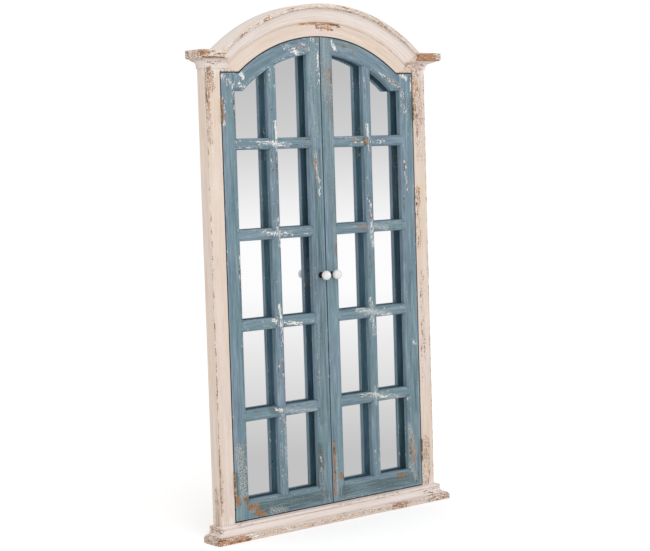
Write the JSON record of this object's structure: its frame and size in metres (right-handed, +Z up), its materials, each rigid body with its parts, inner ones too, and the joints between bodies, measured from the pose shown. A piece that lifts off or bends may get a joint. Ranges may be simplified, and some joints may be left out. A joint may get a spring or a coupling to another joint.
{
  "type": "shutter mirror",
  "caption": "Arched wall mirror framed by painted posts, with a pair of hinged open-paned shutter doors in front of the glass.",
  "frame": {"origin": "the middle of the bottom edge of the back, on the wall", "axes": "+Z up, the front faces -Y, +Y into the wall, +X to the right as seen from the front"},
  "size_m": [0.7, 0.0635, 1.2],
  "materials": {
    "cream_paint": "old pinkish cream paint on wood, worn to brown on the arrises",
    "blue_paint": "brushed slate blue paint on wood, chipped to a cream undercoat",
    "mirror_glass": "polished silvered glass",
    "back_board": "plain brown hardboard",
    "hinge_brass": "dull aged brass",
    "porcelain": "glossy white glazed porcelain",
    "dark_iron": "blackened iron",
    "plated_steel": "zinc plated"
  },
  "bodies": {
    "frame": {"left_post": "cream_paint", "right_post": "cream_paint", "sill_rail": "cream_paint", "arch_board": "cream_paint", "arch_moulding": "cream_paint", "left_capital_slab": "cream_paint", "right_capital_slab": "cream_paint", "left_capital_cove": "cream_paint", "right_capital_cove": "cream_paint", "plinth": "cream_paint", "base_cove_front": "cream_paint", "base_cove_left": "cream_paint", "base_cove_right": "cream_paint", "left_stop": "cream_paint", "right_stop": "cream_paint", "sill_stop": "cream_paint", "arch_stop": "cream_paint", "mirror_glass": "mirror_glass", "back_panel": "back_board", "panel_screws": "plated_steel", "hanger_plates": "plated_steel", "hanger_screws": "plated_steel", "left_frame_hinge_leaves": "hinge_brass", "right_frame_hinge_leaves": "hinge_brass", "frame_hinge_screws": "hinge_brass", "left_hinge_pins": "hinge_brass", "right_hinge_pins": "hinge_brass", "magnet_catches": "dark_iron"},
    "left_door": {"left_hinge_stile": "blue_paint", "left_meeting_stile": "blue_paint", "left_bottom_rail": "blue_paint", "left_arched_rail": "blue_paint", "left_muntin": "blue_paint", "left_bar_1": "blue_paint", "left_bar_2": "blue_paint", "left_bar_3": "blue_paint", "left_bar_4": "blue_paint", "left_door_hinge_leaves": "hinge_brass", "left_door_hinge_screws": "hinge_brass", "left_knob": "porcelain", "left_knob_collar": "dark_iron", "left_knob_bolt": "dark_iron", "left_strike_plate": "plated_steel"},
    "right_door": {"right_hinge_stile": "blue_paint", "right_meeting_stile": "blue_paint", "right_bottom_rail": "blue_paint", "right_arched_rail": "blue_paint", "right_muntin": "blue_paint", "right_bar_1": "blue_paint", "right_bar_2": "blue_paint", "right_bar_3": "blue_paint", "right_bar_4": "blue_paint", "right_door_hinge_leaves": "hinge_brass", "right_door_hinge_screws": "hinge_brass", "right_knob": "porcelain", "right_knob_collar": "dark_iron", "right_knob_bolt": "dark_iron", "right_strike_plate": "plated_steel"}
  },
  "joints": [
    {"name": "left_door_swing", "type": "hinge", "parent": "frame", "child": "left_door", "pos_m": [-0.28125, -0.03455, 0.126], "axis": [0, 0, -1], "range_deg": [0, 135]},
    {"name": "right_door_swing", "type": "hinge", "parent": "frame", "child": "right_door", "pos_m": [0.28125, -0.03455, 0.126], "axis": [0, 0, 1], "range_deg": [0, 135]}
  ]
}
